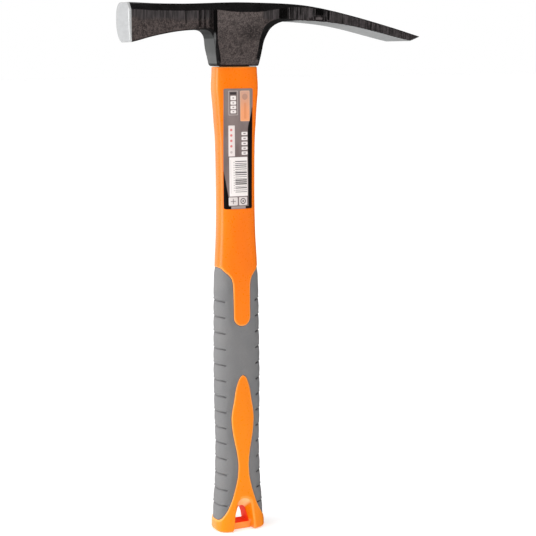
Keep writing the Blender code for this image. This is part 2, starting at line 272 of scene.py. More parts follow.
# --------------------------------------------------------------- the head, mm
HEAD_TOP, HEAD_BOTTOM, FACE_X = 341.6, 302.3, -74.7
TIP = (127.6, 320.6)
TIP_N = (0.36, 0.933)
BX = [-77, -70, -61, -52, -43, -34, -25, -12, 0, 14, 26, 34, 42, 51, 60, 72,
      84, 96, 108, 121.7, 128]
BZ0 = [316.4, 317.7, 320.0, 321.9, 323.4, 324.3, 324.7, 325.3, 326.5, 328.4,
       329.9, 330.3, 330.2, 329.8, 329.1, 327.7, 325.6, 322.95, 320.2, 317.3, 316.1]
BZ1 = [341.0, 340.9, 340.6, 340.4, 340.4, 340.5, 340.8, 341.3, 341.6, 341.5,
       341.3, 340.9, 340.2, 338.9, 337.3, 334.8, 332.1, 329.1, 326.0, 322.2, 320.5]
BW = [11.7, 11.4, 11.0, 10.4, 9.8, 9.3, 9.0, 8.8, 8.8, 9.1, 9.9, 11.4, 12.9,
      14.1, 14.6, 14.8, 14.9, 15.1, 15.3, 15.5, 15.5]
bar_low, bar_top, bar_w = spline(BX, BZ0), spline(BX, BZ1), pchip(BX, BW)
# upper bevel: rise and run; lower edge bevel
bev_rise = pchip([-75, -60, -17, -8, 2, 12, 24, 34, 46, 60, 130],
                 [4.2, 4.3, 4.3, 5.4, 6.1, 5.8, 4.0, 2.4, 1.0, 0.6, 0.4])
bev_run = pchip([-75, -60, -22, -15, 12, 24, 34, 46, 60, 130],
                [3.6, 3.4, 2.8, 2.6, 2.6, 2.6, 2.0, 1.0, 0.7, 0.4])
low_rise = pchip([-75, -40, -20, -14, 6, 10, 14, 19, 25, 34, 46, 130],
                 [0.6, 0.6, 0.9, 1.8, 1.8, 3.8, 4.2, 3.4, 2.4, 1.2, 0.5, 0.4])
low_run = pchip([-75, -40, -20, -14, 6, 10, 14, 19, 25, 34, 46, 130],
                [0.6, 0.6, 0.9, 1.5, 1.8, 2.5, 2.7, 2.6, 2.0, 1.1, 0.5, 0.4])
EZ = [300, 302.3, 304, 308, 314, 319, 322.5, 342]
EL = [-14.9, -14.9, -15.0, -15.6, -16.6, -17.2, -17.6, -17.6]
ER = [14.6, 14.7, 14.9, 15.7, 16.7, 17.5, 18.1, 18.5]
EB = [7.9, 7.95, 8.2, 8.8, 9.7, 10.0, 10.15, 10.2]
eye_l, eye_r, eye_b = pchip(EZ, EL), pchip(EZ, ER), pchip(EZ, EB)
FACE_Z = 329.2


def rim_cone(x, y, z):
    """Turned bevel round the striking face."""
    n = 5.0 - smoothstep(-2, 4, y) * (1.9 + 0.8 * smoothstep(3, -5, z - FACE_Z))
    g = (np.abs(y * 1.03) ** n + np.abs((z - FACE_Z) * 0.95) ** n) ** (1 / n)
    return (g - 10.8 + (FACE_X - x)) * 0.7071


def face_plane(x, y, z):
    """Striking face, very slightly crowned."""
    return FACE_X - x + 0.02 * (FACE_Z + 4 - z) + 0.35 * ((y / 12) ** 2 + ((z - FACE_Z) / 11) ** 2)


def head_body(x, y, z, want_land=False):
    ay = np.abs(y)
    top, low = bar_top(x), bar_low(x)
    block = smax(smax(eye_l(z) - x, x - eye_r(z), 1.0), HEAD_BOTTOM - z, 2.2)
    k = 7.0 + 9.0 * smoothstep(-2, 6, x)
    prof = smax(smin(low - z, block, k), z - top, 0.3)
    left = smoothstep(-18.0, -16.0, x)
    right = smoothstep(13, 24, x)
    w = bar_w(x)
    w = w + left * (1 - right) * (eye_b(z) - w)
    side = ay - w
    # forging is never quite flat
    side = side + 0.10 * noise3(x / 9.0, y / 9.0 + 7, z / 8.0) \
        + 0.03 * noise3(x / 3.1, y / 9.0 + 3, z / 2.7)
    mid = 0.5 * (top + low)
    up = smoothstep(-1.0, 1.0, z - np.maximum(mid, np.where(np.abs(x) < 19, 331, 0)))
    foot = smoothstep(307.5, 304.5, z) * smoothstep(15.0, 13.0, np.abs(x))
    rise = low_rise(x) + (bev_rise(x) - low_rise(x)) * up
    run = low_run(x) + (bev_run(x) - low_run(x)) * up
    rise = rise + (0.9 - rise) * foot
    run = run + (0.9 - run) * foot
    bevel = (side * rise + prof * run + rise * run) / np.hypot(rise, run)
    body = smax(smax(prof, bevel, 0.35), side, 0.35)
    if want_land:
        return side - np.maximum(bevel, prof)
    # ground bevel behind the cutting edge, and the edge itself
    tip = (x - TIP[0]) * TIP_N[0] - (z - TIP[1]) * TIP_N[1]
    body = smax(body, tip, 0.15)
    body = smax(body, x - TIP[0] - 0.25, 0.15)
    return body


def eye_hole(x, y, z):
    f = (z - HEAD_BOTTOM) / (HEAD_TOP - HEAD_BOTTOM)
    a, b, r = 11.2 + 1.2 * f, 5.1 + 1.1 * f, 3.4
    qx, qy = np.abs(x) - a + r, np.abs(y) - b + r
    return (np.hypot(np.maximum(qx, 0), np.maximum(qy, 0))
            + np.minimum(np.maximum(qx, qy), 0) - r)


def head_sdf(x, y, z):
    d = head_body(x, y, z)
    d = smax(d, rim_cone(x, y, z), 0.25)
    d = smax(d, face_plane(x, y, z), 0.5)
    return smax(d, -eye_hole(x, y, z), 0.5)


def build_head():
    h = 0.5
    xs = np.arange(-76.2, 129.4, h)
    ys = np.arange(-17.05, 17.3, h)
    zs = np.arange(300.6, 343.4, h)
    verts, quads = contour(head_sdf, xs, ys, zs)
    x, y, z = verts.T
    g = gradient(head_sdf, verts, 0.05)
    under = (smoothstep(36.0, 41.5, x + 1.5 * noise3(x / 6, y / 2.5, z / 6))
             * smoothstep(0.62, 0.82, -g[:, 2]))
    polish = under
    edge = smoothstep(-0.2, 0.1, np.maximum(
        (x - TIP[0]) * TIP_N[0] - (z - TIP[1]) * TIP_N[1],
        x - TIP[0] - 0.25) + 0.05) * (x > 118)
    polish = np.maximum(polish, edge)
    land = smoothstep(-0.12, 0.12, head_body(x, y, z, True))
    return to_object("head_fine", verts, quads, head_sdf,
                     {"polish": polish, "land": land})


# -------------------------------------------------------------- the handle, mm
JACKET_TOP = 302.0
SECTIONS = [
    (0.0, 17.1, 11.1, 3.2), (2.0, 17.1, 11.1, 3.2), (5.0, 17.05, 11.1, 3.15),
    (8.5, 16.7, 11.0, 3.0), (13.0, 16.0, 10.9, 2.9), (20.0, 15.6, 10.7, 2.75),
    (28.0, 15.0, 10.4, 2.65), (36.0, 14.6, 10.3, 2.6), (46.0, 14.35, 10.25, 2.55),
    (60.0, 14.1, 10.2, 2.5), (75.0, 14.5, 10.2, 2.5), (92.0, 14.75, 10.2, 2.5),
    (112.0, 14.85, 10.1, 2.5), (133.0, 14.6, 10.0, 2.5), (157.0, 14.35, 9.7, 2.5),
    (169.0, 14.05, 9.5, 2.55), (179.0, 13.75, 9.3, 2.6), (190.0, 13.1, 9.05, 2.6),
    (202.0, 12.6, 8.8, 2.65), (216.0, 12.4, 8.5, 2.7), (232.0, 12.4, 8.2, 2.85),
    (250.0, 12.55, 7.95, 3.05), (258.0, 12.8, 7.9, 3.15), (266.0, 13.35, 7.8, 3.3),
    (273.0, 13.75, 7.75, 3.45), (280.0, 14.3, 7.7, 3.6), (287.0, 14.85, 7.6, 3.8),
    (292.0, 14.85, 7.4, 3.9), (296.0, 14.6, 7.15, 3.9), (302.5, 14.3, 6.9, 4.0)]
half_x = spline([r[0] for r in SECTIONS], [r[1] for r in SECTIONS])
half_y = spline([r[0] for r in SECTIONS], [r[2] for r in SECTIONS])
square = pchip([r[0] for r in SECTIONS], [r[3] for r in SECTIONS])


def handle(x, y, z):
    """Signed distance to the handle's side surface."""
    a, b, n = half_x(z), half_y(z), square(z)
    p, q = np.abs(x) / a, np.abs(y) / b
    s = p ** n + q ** n + 1e-9
    g = np.hypot(p ** (n - 1) / a, q ** (n - 1) / b) * s ** (1 / n - 1)
    return (s ** (1 / n) - 1) / np.maximum(g, 0.02)


def front(x, z, out=0.0):
    """Y of the handle's front surface, moved out."""
    a, b, n = half_x(z) + out, half_y(z) + out, square(z)
    return -b * (1 - np.minimum(0.999, np.abs(x) / a) ** n) ** (1 / n)


def flow(points, step=0.4):
    """Smooth curve through points, sampled evenly along its chords."""
    p = np.array(points, float)
    t = np.concatenate([[0], np.cumsum(np.hypot(*np.diff(p, axis=0).T))])
    u = np.linspace(0, t[-1], max(8, int(t[-1] / step)))
    return np.stack([pchip(t, p[:, 0])(u), spline(t, p[:, 1])(u)], 1)


def grip_outline():
    """Right half of the grip's front view: the upper edge with the tongue, and
    the lower edge with the spindle."""
    upper = flow([(14.6, 175.0), (13.2, 174.9), (11.3, 172.9), (8.4, 170.0),
                  (6.7, 167.2), (6.0, 163.5), (5.8, 155.0), (5.7, 142.7)])
    t = np.radians(np.linspace(0, -90, 16))[1:]
    arc = np.stack([5.7 * np.cos(t), 142.7 + 5.7 * np.sin(t)], 1)
    upper = np.concatenate([[(24.0, 175.0)], upper, arc])
    lower = flow([(0.0, 104.8), (1.7, 103.7), (3.3, 100.8), (5.0, 95.4),
                  (6.2, 88.0), (7.5, 80.5), (7.9, 76.0), (7.4, 69.0),
                  (6.1, 61.0), (4.5, 52.5), (3.7, 44.5), (4.1, 38.0),
                  (5.5, 31.0), (7.9, 22.8), (10.7, 15.9), (13.2, 11.6),
                  (15.3, 8.8), (17.2, 7.3)])
    return upper, np.concatenate([lower, [(24.0, 6.6)]])


def distance_map():
    """Table of signed distance to the grip's outline, negative on the grip."""
    upper, lower = grip_outline()
    xs, zs = np.arange(0, 24.01, 0.15), np.arange(-4, 190.01, 0.2)
    X, Z = np.meshgrid(xs, zs, indexing="ij")
    best = np.full(X.shape, 1e9)
    for path in (upper, lower):
        for (x0, z0), (x1, z1) in zip(path[:-1], path[1:]):
            dx, dz = x1 - x0, z1 - z0
            t = np.clip(((X - x0) * dx + (Z - z0) * dz)
                        / max(dx * dx + dz * dz, 1e-12), 0, 1)
            best = np.minimum(best, (X - x0 - t * dx) ** 2 + (Z - z0 - t * dz) ** 2)
    best = np.sqrt(best)
    ring = np.concatenate([upper, lower])
    inside = np.zeros(X.shape, bool)
    for (x0, z0), (x1, z1) in zip(ring, np.roll(ring, -1, axis=0)):
        hit = (z0 > Z) != (z1 > Z)
        with np.errstate(divide="ignore", invalid="ignore"):
            cross = (x1 - x0) * (Z - z0) / (z1 - z0) + x0
        inside ^= hit & (X + 1e-6 < cross)
    return np.where(inside, -best, best)


GRIP_MAP = distance_map()


def grip_edge(x, z):
    """Signed distance from the grip's outline in front view."""
    u = np.clip(np.abs(x) / 0.15, 0, GRIP_MAP.shape[0] - 1.001)
    v = np.clip((z + 4) / 0.2, 0, GRIP_MAP.shape[1] - 1.001)
    i, j = u.astype(int), v.astype(int)
    fu, fv = u - i, v - j
    return ((GRIP_MAP[i, j] * (1 - fu) + GRIP_MAP[i + 1, j] * fu) * (1 - fv)
            + (GRIP_MAP[i, j + 1] * (1 - fu) + GRIP_MAP[i + 1, j + 1] * fu) * fv)


def round_rect(x, y, a, b, r):
    qx, qy = np.abs(x) - a + r, np.abs(y) - b + r
    return (np.hypot(np.maximum(qx, 0), np.maximum(qy, 0))
            + np.minimum(np.maximum(qx, qy), 0) - r)


WEB_HALF = 5.3


def jacket_sdf(x, y, z):
    side = handle(x, y, z)
    d = meet(meet(side, -z, 2.3), z - JACKET_TOP, 0.9)
    # recess for the grip
    d = meet(d, np.minimum(0.05 - grip_edge(x, z), side + 2.5), 0.45)
    # cavity for the rod
    cav = np.maximum(round_rect(x, y, 9.8, 4.3, 2.9), 31.7 - z)
    d = np.maximum(d, -cav)
    # scoops at the front and back, funnelling down to the hanging hole
    deep = np.clip((10.9 - np.abs(y)) / (10.9 - WEB_HALF), -1.0, 1.5)
    top = 22.8 - 6.6 * deep
    half = 5.8 - 2.9 * deep
    spring = top - half
    low = half + (1.8 + 3.5 * deep) * (spring - z) / 17.0
    arch = np.where(z > spring, np.hypot(x, z - spring) - half, np.abs(x) - low)
    scoop = smax(arch * 0.82, WEB_HALF - np.abs(y), 0.6)
    d = meet(d, -scoop, 0.5)
    # hanging hole
    hole = np.where(z > 13.3, np.hypot(x, z - 13.3) - 2.9,
                    np.abs(x) - 2.9 - 0.30 * (13.3 - z))
    hole = smax(hole, 4.6 - z, 0.6)
    return meet(d, -hole, 0.4)


GROOVES = [153.5 - 10.4 * k for k in range(14)]


def grip_relief(x, y, z):
    """How far the grip's skin stands out: grooves cut round both sides, each
    with a small raised lip above it and round its end, and a slight swell
    between them."""
    k = np.clip(np.round((153.5 - z) / 10.4), 0, 13)
    dz = z - (153.5 - 10.4 * k)
    s = (np.abs(x) - np.where(x > 0, 9.7, 11.2)) * 1.35
    # the end dips a little
    dz = dz + 0.35 * smoothstep(2.2, 0.0, s)
    back = np.maximum(-s, 0)
    q = np.hypot(back, dz)
    cut = 1 - smoothstep(0.0, 1.0, np.where(dz > 0, q / 0.55, np.hypot(
        back / 0.7, dz / 1.0)))
    cut = cut * (0.50 + np.where(x > 0, 0.40, 0.20) * smoothstep(4.0, 1.0, s))
    lip = np.exp(-((np.hypot(back, np.maximum(dz, -0.4)) - 0.95) / 0.32) ** 2)
    lip = lip * smoothstep(-0.7, 0.2, dz)
    swell = np.cos(np.clip(dz / 10.4, -0.5, 0.5) * 2 * np.pi)
    swell = -0.11 * swell * smoothstep(7.0, 11.5, np.abs(x)) \
        * smoothstep(166, 158, z) * smoothstep(9, 15, z)
    return 0.26 * lip - cut + swell


def grip_sdf(x, y, z):
    side, edge = handle(x, y, z), grip_edge(x, z)
    rise = -0.30 + 0.60 * smoothstep(0.0, 4.5, -edge)
    d = meet(side - rise - grip_relief(x, y, z), edge, 0.15)
    return np.maximum(d, -(side + 2.2))


def stretch(pieces):
    """Grid levels from (start, end, spacing) runs."""
    out = []
    for a, b, h in pieces:
        out.append(np.linspace(a, b, max(1, int(round((b - a) / h))), endpoint=False))
    return np.concatenate(out + [[pieces[-1][1]]])


def build_jacket():
    c = 1.0
    zs = stretch([(-0.37, 6.0, 0.42 * c), (6.0, 26.0, 0.5 * c), (26.0, 178.0, 0.85 * c),
                  (178.0, 299.5, 1.7 * c), (299.5, 302.63, 0.35 * c)])
    xs = stretch([(-17.93, -10.0, 0.55 * c), (-10.0, 10.0, 0.6 * c), (10.0, 17.95, 0.55 * c)])
    ys = stretch([(-11.83, 11.87, 0.56 * c)])
    verts, quads = contour(jacket_sdf, xs, ys, zs)
    x, y, z = verts.T
    e = grip_edge(x, z)
    skin = handle(x, y, z) > -0.7
    # painted highlight: a pale line along the jacket's edge beside the grip
    edge_glint = smoothstep(0.95, 0.25, e) * (e > -0.15) * skin
    # painted highlight along the scoop's edge as well
    top, half = 22.8, 5.8
    low = half + 1.8 * (top - half - z) / 17.0
    arch = np.where(z > top - half, np.hypot(x, z - top + half) - half,
                    np.abs(x) - low)
    rim = smoothstep(1.3, 0.4, np.abs(arch - 0.2)) * skin * (np.abs(y) > 8)
    edge_glint = np.maximum(edge_glint, 0.7 * rim * (x > -3))
    return to_object("jacket_fine", verts, quads, jacket_sdf, {"edge_highlight_mask": edge_glint})


def build_grip():
    c = 1.0
    runs, z = [], 6.1
    for g in sorted(GROOVES):
        runs += [(z, g - 1.7, 0.78 * c), (g - 1.7, g + 1.5, 0.30 * c)]
        z = g + 1.5
    runs += [(z, 176.2, 0.6 * c)]
    xs = stretch([(-18.03, -9.0, 0.52 * c), (-9.0, 9.0, 0.62 * c), (9.0, 18.05, 0.52 * c)])
    ys = stretch([(-12.13, 12.17, 0.55 * c)])
    verts, quads = contour(grip_sdf, xs, ys, stretch(runs))
    x, y, z = verts.T
    # painted shade in the grooves, darker on the right side away from the left lamp
    groove_shade = smoothstep(-0.12, -0.50, grip_relief(x, y, z)) * (handle(x, y, z) > -1.4)
    groove_shade = groove_shade * np.where(x > 0, 1.0, 0.50 + 0.15 * smoothstep(
        14.6, 12.0, np.abs(x)))
    # painted highlight on the lips above the grooves, strongest on the right
    lip_highlight = smoothstep(0.15, 0.30, grip_relief(x, y, z)) * (handle(x, y, z) > -0.5)
    lip_highlight = lip_highlight * np.where(x > 11.0, 1.0, 0.35)
    return to_object("grip_fine", verts, quads, grip_sdf,
                     {"groove_shade": groove_shade, "lip_highlight": lip_highlight})


def build_label():
    """Thin film laid on the front of the shaft, its corners rounded."""
    x0, z0, z1, r = -10.7, 212.6, 288.4, 1.0
    cols, rows = 40, 150
    layers = []
    for out in (0.05, 0.19):
        grid = []
        for j in range(rows + 1):
            # rows crowd towards the ends, for the corners
            z = z0 + (z1 - z0) * (0.5 - 0.5 * math.cos(math.pi * j / rows)) \
                if j < 12 or j > rows - 12 else None
            grid.append(z)
        lo, hi = grid[11], grid[rows - 11]
        for j in range(12, rows - 11):
            grid[j] = lo + (hi - lo) * (j - 11) / (rows - 22)
        for j, z in enumerate(grid):
            e = r - min(r, z - z0, z1 - z)
            cut = r - math.sqrt(max(r * r - e * e, 0))
            inset = 0.03 if out > 0.1 else 0.0
            x1 = 8.2 + 1.1 * (z - z0) / (z1 - z0)
            xs = np.linspace(x0 + cut + inset, x1 - cut - inset, cols + 1)
            layers.append(np.stack([xs, front(xs, np.full(cols + 1, z), out),
                                    np.full(cols + 1, z)], 1))
    verts = np.concatenate(layers)
    m = cols + 1

    def at(layer, j, i):
        return (layer * (rows + 1) + j) * m + i
    faces = []
    for j in range(rows):
        for i in range(cols):
            faces.append((at(1, j, i), at(1, j, i + 1), at(1, j + 1, i + 1),
                          at(1, j + 1, i)))
            faces.append((at(0, j, i), at(0, j + 1, i), at(0, j + 1, i + 1),
                          at(0, j, i + 1)))
    for j in range(rows):
        faces.append((at(0, j, 0), at(1, j, 0), at(1, j + 1, 0), at(0, j + 1, 0)))
        faces.append((at(0, j + 1, cols), at(1, j + 1, cols), at(1, j, cols),
                      at(0, j, cols)))
    for i in range(cols):
        faces.append((at(0, 0, i + 1), at(1, 0, i + 1), at(1, 0, i), at(0, 0, i)))
        faces.append((at(0, rows, i), at(1, rows, i), at(1, rows, i + 1),
                      at(0, rows, i + 1)))
    return to_object("label_fine", verts, faces, None, None, 40)


# ------------------------------------------------------------ material tools
def new_material(name):
    mat = bpy.data.materials.new(name)
    mat.use_nodes = True
    nt = mat.node_tree
    nt.nodes.clear()
    out = nt.nodes.new("ShaderNodeOutputMaterial")
    bsdf = nt.nodes.new("ShaderNodeBsdfPrincipled")
    nt.links.new(bsdf.outputs[0], out.inputs[0])
    return mat, nt, bsdf


class Nodes:
    """Short forms for building node trees."""

    def __init__(self, nt):
        self.nt = nt

    def node(self, kind, **props):
        n = self.nt.nodes.new(kind)
        for k, v in props.items():
            setattr(n, k, v)
        return n

    def link(self, a, b):
        self.nt.links.new(a, b)

    def put(self, socket, v):
        if hasattr(v, "links") or hasattr(v, "is_linked"):
            self.link(v, socket)
        else:
            socket.default_value = v

    def coord(self):
        return self.node("ShaderNodeTexCoord").outputs["Object"]

    def scale(self, vec, s):
        n = self.node("ShaderNodeMapping")
        n.inputs["Scale"].default_value = s
        self.link(vec, n.inputs["Vector"])
        return n.outputs[0]

    def noise(self, vec, scale, detail=2.0, rough=0.5, distort=0.0):
        n = self.node("ShaderNodeTexNoise")
        n.inputs["Scale"].default_value = scale
        n.inputs["Detail"].default_value = detail
        n.inputs["Roughness"].default_value = rough
        n.inputs["Distortion"].default_value = distort
        self.link(vec, n.inputs["Vector"])
        return n.outputs["Fac"]

    def ramp(self, fac, stops, interp="LINEAR"):
        n = self.node("ShaderNodeValToRGB")
        n.color_ramp.interpolation = interp
        el = n.color_ramp.elements
        while len(el) > 1:
            el.remove(el[-1])
        el[0].position, c = stops[0][0], stops[0][1]
        el[0].color = c if isinstance(c, tuple) else (c, c, c, 1)
        for pos, c in stops[1:]:
            e = el.new(pos)
            e.color = c if isinstance(c, tuple) else (c, c, c, 1)
        self.link(fac, n.inputs[0])
        return n.outputs[0]

    def math(self, op, a, b=None, c=None, clamp=False):
        n = self.node("ShaderNodeMath", operation=op, use_clamp=clamp)
        self.put(n.inputs[0], a)
        if b is not None:
            self.put(n.inputs[1], b)
        if c is not None:
            self.put(n.inputs[2], c)
        return n.outputs[0]

    def mix(self, fac, a, b, blend="MIX"):
        n = self.node("ShaderNodeMix", data_type="RGBA", blend_type=blend)
        self.put(n.inputs[0], fac)
        self.put(n.inputs[6], a)
        self.put(n.inputs[7], b)
        return n.outputs[2]

    def lerp(self, fac, a, b):
        n = self.node("ShaderNodeMix", data_type="FLOAT")
        self.put(n.inputs[0], fac)
        self.put(n.inputs[2], a)
        self.put(n.inputs[3], b)
        return n.outputs[0]

    def span(self, v, a, b, c=0.0, d=1.0):
        n = self.node("ShaderNodeMapRange")
        n.interpolation_type = "SMOOTHSTEP"
        self.link(v, n.inputs[0])
        for i, x in zip((1, 2, 3, 4), (a, b, c, d)):
            n.inputs[i].default_value = x
        return n.outputs[0]

    def split(self, vec):
        n = self.node("ShaderNodeSeparateXYZ")
        self.link(vec, n.inputs[0])
        return n.outputs

    def attr(self, name):
        return self.node("ShaderNodeAttribute", attribute_name=name).outputs["Fac"]

    def bump(self, height, strength, distance, normal=None):
        n = self.node("ShaderNodeBump")
        n.inputs["Strength"].default_value = strength
        n.inputs["Distance"].default_value = distance
        self.link(height, n.inputs["Height"])
        if normal is not None:
            self.link(normal, n.inputs["Normal"])
        return n.outputs[0]


def rgb(r, g, b):
    """sRGB 0-255 to a linear colour."""
    def lin(c):
        c /= 255
        return c / 12.92 if c <= 0.04045 else ((c + 0.055) / 1.055) ** 2.4
    return (lin(r), lin(g), lin(b), 1.0)


# ---------------------------------------------------------------- materials
def steel_material():
    """Black lacquer over forged and belt-ground steel, ground bright at the
    face, under the blade and at the edge."""
    mat, nt, bsdf = new_material("black_lacquered_steel")
    n = Nodes(nt)
    p = n.coord()
    xyz = n.split(n.scale(p, (1000.0, 1000.0, 1000.0)))
    x, y, z = xyz[0], xyz[1], xyz[2]
    normal = n.split(n.node("ShaderNodeNewGeometry").outputs["Normal"])
    sides = n.attr("land")
    # vertical grinding streaks under the lacquer, forging scale lower down
    streak = n.noise(n.scale(p, (1.0, 1.0, 0.05)), 1500, 2.0, 0.6)
    streak2 = n.noise(n.scale(p, (1.0, 1.0, 0.03)), 420, 3.0, 0.6)
    grain = n.noise(p, 1900, 3.0, 0.6)
    mottle = n.noise(p, 560, 5.0, 0.7, 0.4)
    patch = n.noise(p, 110, 3.0, 0.55)
    wander = n.math("MULTIPLY", n.math("SUBTRACT", patch, 0.5), 7.0)
    upper = n.span(n.math("ADD", z, wander), 329.5, 332.5)
    upper = n.math("MAXIMUM", upper, n.span(x, 47.0, 56.0))
    cheek = n.math("MULTIPLY", n.span(x, -19.0, -16.5), n.span(x, 17.5, 14.0))
    streaky = n.math("MULTIPLY", upper, n.math("SUBTRACT", 1.0, cheek))
    fleck = n.noise(p, 1500, 3.0, 0.7)
    blotch = n.math("ADD", n.math("MULTIPLY", mottle, 0.4),
                    n.math("MULTIPLY", fleck, 0.6))
    scale_c = n.mix(n.span(blotch, 0.41, 0.58), rgb(38, 31, 30), rgb(86, 75, 72))
    scale_c = n.mix(n.math("MULTIPLY", cheek, n.span(z, 318.0, 333.0, 0.25, 0.8)),
                    scale_c, n.mix(n.span(blotch, 0.42, 0.57), rgb(60, 52, 50),
                                   rgb(101, 91, 88)))
    lines = n.math("ADD", n.math("MULTIPLY", streak, 0.75),
                   n.math("MULTIPLY", streak2, 0.25))
    ground_c = n.mix(n.span(lines, 0.42, 0.58), rgb(41, 38, 38), rgb(69, 63, 64))
    ground_c = n.mix(n.math("MULTIPLY", n.span(x, 24.0, 34.0),
                            n.span(lines, 0.48, 0.41)), ground_c, rgb(22, 20, 20))
    colour = n.mix(streaky, scale_c, ground_c)
    # small dark pits in the scale, and bands where the grinding left the lacquer bare and smooth;
    # those bands are painted near black as a dark reflection
    pits = n.span(n.noise(p, 1350, 3.0, 0.75), 0.555, 0.62)
    pits = n.math("MULTIPLY", pits, n.math("SUBTRACT", 1.0, streaky))
    cluster = n.span(n.noise(p, 60, 2.0, 0.5), 0.42, 0.62)
    pits = n.math("MULTIPLY", pits, n.lerp(cluster, 0.35, 1.0))
    # rougher patch high on the right of the cheek
    away = n.math("ADD", n.math("POWER", n.math("SUBTRACT", x, 8.0), 2.0),
                  n.math("POWER", n.math("MULTIPLY", n.math(
                      "SUBTRACT", z, 323.5), 1.35), 2.0))
    coarse = n.span(n.noise(p, 800, 4.0, 0.7), 0.46, 0.53)
    coarse = n.math("MULTIPLY", coarse, n.span(away, 75.0, 12.0))
    pits = n.math("MAXIMUM", pits, n.math("MULTIPLY", coarse, 1.0))
    # broken lines where the scale has cracked: on the cheek and at the poll's root
    crack = n.math("ABSOLUTE", n.math("SUBTRACT", n.noise(p, 430, 4.0, 0.75), 0.5))
    crack = n.span(crack, 0.030, 0.008)
    root = n.math("MULTIPLY", n.span(x, -34.0, -27.0), n.span(x, -15.0, -17.0))
    root = n.math("MULTIPLY", root, n.span(z, 332.0, 328.5))
    here = n.math("MAXIMUM", n.span(away, 330.0, 60.0, 0.0, 0.85), root)
    here = n.math("MAXIMUM", here, n.math("MULTIPLY", n.span(x, 11.0, 15.0),
                                          n.span(z, 332.5, 330.0)))
    pits = n.math("MAXIMUM", pits, n.math("MULTIPLY", crack, here))

    def band(at, half, soft, z0=None, z1=None, strength=1.0, zs=0.5):
        wob = n.math("MULTIPLY", n.math("SUBTRACT", streak2, 0.5), 1.2)
        d = n.math("ABSOLUTE", n.math("SUBTRACT", n.math("ADD", x, wob), at))
        m = n.span(d, half + soft, half - soft * 0.3)
        if z0 is not None:
            zw = n.math("ADD", z, n.math("MULTIPLY", n.math(
                "SUBTRACT", mottle, 0.5), 2.0))
            m = n.math("MULTIPLY", m, n.span(zw, z0 - zs, z0 + zs))
            m = n.math("MULTIPLY", m, n.span(zw, z1 + zs, z1 - zs))
        return n.math("MULTIPLY", m, strength)
    # smooth lacquer bands, painted near black below as a painted dark reflection
    smooth_lacquer_dark_reflection = band(29.4, 2.3, 0.6)
    for args in ((34.4, 0.35, 0.4, None, None, 0.6), (53.4, 2.9, 0.35, 333.6, 346, 1.0),
                 (59.7, 0.6, 0.35, 331.0, 346, 0.95), (53.0, 3.3, 0.4, 330.2, 333.4, 0.8), (-36.3, 0.5, 0.6, 328, 342, 0.55),
                 (-27.0, 0.8, 0.5, 326, 342, 0.75), (-23.6, 0.6, 0.6, 324, 342, 0.7),
                 (45.0, 0.4, 0.5, 332, 342, 0.35), (40.6, 0.6, 0.6, 334, 342, 0.3),
                 (47.6, 1.0, 0.8, 329.5, 332.6, 0.7), (57.6, 0.5, 0.4, 329.5, 333.0, 0.7),
                 (-19.3, 1.2, 0.6, 322, 342, 0.8)):
        smooth_lacquer_dark_reflection = n.math("MAXIMUM", smooth_lacquer_dark_reflection, band(*args))
    colour = n.mix(n.math("MULTIPLY", pits, 0.85), colour, rgb(20, 15, 15))
    bare_patch = band(53.0, 2.2, 0.4, 331.1, 332.6, 1.0)
    smooth_lacquer_dark_reflection = n.math("MULTIPLY", smooth_lacquer_dark_reflection,
                          n.math("SUBTRACT", 1.0, bare_patch))
    # rounded left edge of each cheek, painted near black as a dark reflection and dulled
    left_edge = n.math("SUBTRACT", -13.9, n.span(z, 303.0, 321.0, 0.0, 2.9))
    left_edge = n.math("ABSOLUTE", n.math("SUBTRACT", x, left_edge))
    left_edge = n.math("MULTIPLY", n.span(left_edge, 1.35, 0.95),
                       n.span(z, 303.0, 306.0))
    smooth_lacquer_dark_reflection = n.math("MAXIMUM", smooth_lacquer_dark_reflection, left_edge)
    # painted dark reflection: the smooth bands and the cheeks' left edges go near black
    colour = n.mix(smooth_lacquer_dark_reflection, colour, rgb(9, 8, 8))
    colour = n.mix(n.math("MULTIPLY", bare_patch, 0.8), colour, rgb(84, 77, 77))
    # the bevels, top and ends are smooth lacquer, unground
    end_face = n.span(normal[0], -0.80, -0.93)
    # faces turned to the left are painted lighter grey, a painted reflection of the left lamp
    plain_c = n.mix(end_face, rgb(16, 15, 15), rgb(50, 52, 51))
    # thin painted highlight along the top edge of the poll
    plain_c = n.mix(n.math("MULTIPLY", n.span(z, 340.0, 340.5), n.span(
        x, -44.0, -60.0)), plain_c, rgb(112, 112, 112))
    plain_c = n.mix(n.span(patch, 0.3, 0.7), plain_c, n.mix(0.5, plain_c, rgb(30, 29, 29)))
    colour = n.mix(sides, plain_c, colour)
    # bare steel
    face = n.span(x, -72.45, -72.65)
    under = n.attr("polish")
    polish = n.math("MAXIMUM", face, under)
    brushed = n.noise(n.scale(p, (0.2, 1.0, 0.12)), 1100, 3.0, 0.6)
    turned = n.noise(n.scale(p, (1.0, 0.25, 1.0)), 500, 3.0, 0.6)
    bright = n.mix(n.span(brushed, 0.3, 0.7), rgb(156, 158, 158), rgb(174, 175, 175))
    rim = n.span(normal[0], -0.95, -0.86)
    faced = n.mix(n.span(turned, 0.3, 0.7), rgb(166, 167, 168), rgb(180, 181, 182))
    faced = n.mix(rim, faced, rgb(178, 179, 179))
    bright = n.mix(face, bright, faced)
    n.link(n.mix(polish, colour, bright), bsdf.inputs["Base Color"])
    n.link(n.math("MULTIPLY", polish, n.lerp(n.math("MULTIPLY", rim, face),
                                             0.92, 0.25)), bsdf.inputs["Metallic"])

